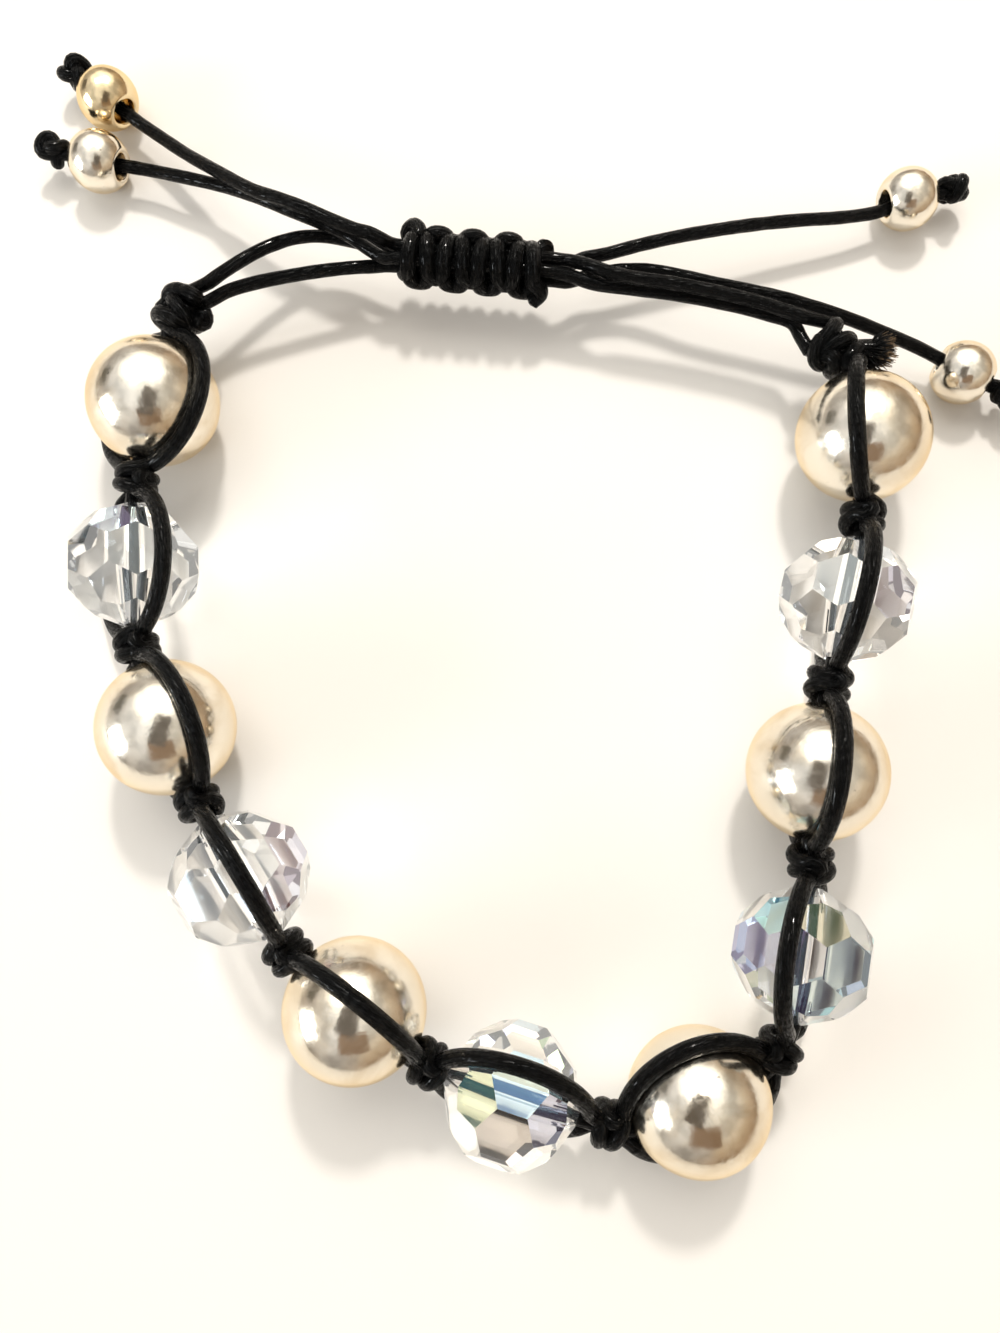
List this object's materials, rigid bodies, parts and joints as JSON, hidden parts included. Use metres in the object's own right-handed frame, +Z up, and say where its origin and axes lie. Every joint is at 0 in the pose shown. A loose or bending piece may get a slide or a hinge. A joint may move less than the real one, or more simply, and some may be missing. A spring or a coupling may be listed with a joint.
{
  "type": "beaded cord bracelet",
  "caption": "Macrame cord bracelet of silver balls and cut crystals in turn, knotted between the beads, with a sliding knot closure and beaded tails.",
  "frame": {"origin": "middle of the bracelet lying flat, without its four free tails, on the surface that it lies on", "axes": "+Z up, through the wrist opening; +Y from the middle of the beads to the sliding knot; +X to the right with the closure at the far side, as in the picture"},
  "size_m": [0.0817, 0.0892, 0.0126],
  "materials": {
    "waxed_cord": "black waxed cotton, faint sheen",
    "silver_plate": "polished silver plate, lightly tarnished",
    "champagne_plate": "polished plate with a warm champagne tint",
    "crystal": "clear cut glass with a rainbow coating"
  },
  "bodies": {
    "root": {"core_cord": "waxed_cord", "upper_side_cord": "waxed_cord", "lower_side_cord": "waxed_cord", "ball_bead_1": "silver_plate", "ball_bead_2": "silver_plate", "ball_bead_3": "silver_plate", "ball_bead_4": "silver_plate", "ball_bead_5": "silver_plate", "ball_bead_6": "silver_plate", "crystal_bead_1": "crystal", "crystal_bead_2": "crystal", "crystal_bead_3": "crystal", "crystal_bead_4": "crystal", "crystal_bead_5": "crystal", "knot_1": "waxed_cord", "knot_2": "waxed_cord", "knot_3": "waxed_cord", "knot_4": "waxed_cord", "knot_5": "waxed_cord", "knot_6": "waxed_cord", "knot_7": "waxed_cord", "knot_8": "waxed_cord", "knot_9": "waxed_cord", "knot_10": "waxed_cord", "left_end_knot": "waxed_cord", "right_end_knot": "waxed_cord", "cord_stub": "waxed_cord", "sliding_knot": "waxed_cord", "left_upper_strand": "waxed_cord", "left_lower_strand": "waxed_cord", "right_upper_strand": "waxed_cord", "right_lower_strand": "waxed_cord", "end_bead_1": "champagne_plate", "end_bead_2": "silver_plate", "end_bead_3": "silver_plate", "end_bead_4": "silver_plate", "stopper_knot_1": "waxed_cord", "stopper_knot_2": "waxed_cord", "stopper_knot_3": "waxed_cord", "stopper_knot_4": "waxed_cord"}
  },
  "joints": []
}
